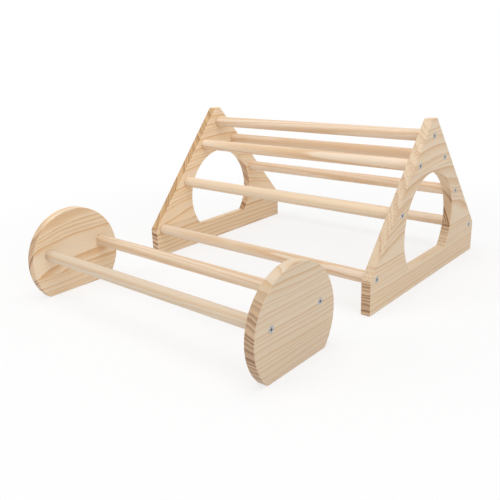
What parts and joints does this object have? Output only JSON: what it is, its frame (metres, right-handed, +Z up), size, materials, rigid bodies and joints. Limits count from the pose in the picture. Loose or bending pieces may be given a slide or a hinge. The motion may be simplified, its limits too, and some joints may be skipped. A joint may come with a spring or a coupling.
{
  "type": "bird perch set",
  "caption": "Free-standing pine climbing frame for small birds, with round rungs between triangular boards, and a low perch of rungs between discs.",
  "frame": {"origin": "on the floor, under the middle of the box round both perches", "axes": "+X along the rungs to the right, +Y from the low perch in front to the climbing frame behind, +Z up"},
  "size_m": [0.3, 0.397, 0.166],
  "materials": {
    "board_pine": "bare, sanded pine board",
    "rung_pine": "bare, sanded dowel",
    "zinc_steel": "bright zinc plate"
  },
  "bodies": {
    "root": {"frame_board_left": "board_pine", "frame_board_right": "board_pine", "frame_rung_ridge": "rung_pine", "frame_screw_ridge_left": "zinc_steel", "frame_screw_ridge_right": "zinc_steel", "frame_rung_front_upper": "rung_pine", "frame_screw_front_upper_left": "zinc_steel", "frame_screw_front_upper_right": "zinc_steel", "frame_rung_rear_upper": "rung_pine", "frame_screw_rear_upper_left": "zinc_steel", "frame_screw_rear_upper_right": "zinc_steel", "frame_rung_front_middle": "rung_pine", "frame_screw_front_middle_left": "zinc_steel", "frame_screw_front_middle_right": "zinc_steel", "frame_rung_rear_middle": "rung_pine", "frame_screw_rear_middle_left": "zinc_steel", "frame_screw_rear_middle_right": "zinc_steel", "frame_rung_front_base": "rung_pine", "frame_screw_front_base_left": "zinc_steel", "frame_screw_front_base_right": "zinc_steel", "frame_rung_rear_base": "rung_pine", "frame_screw_rear_base_left": "zinc_steel", "frame_screw_rear_base_right": "zinc_steel", "perch_disc_left": "board_pine", "perch_disc_right": "board_pine", "perch_rung_front": "rung_pine", "perch_screw_front_left": "zinc_steel", "perch_screw_front_right": "zinc_steel", "perch_rung_rear": "rung_pine", "perch_screw_rear_left": "zinc_steel", "perch_screw_rear_right": "zinc_steel"}
  },
  "joints": []
}
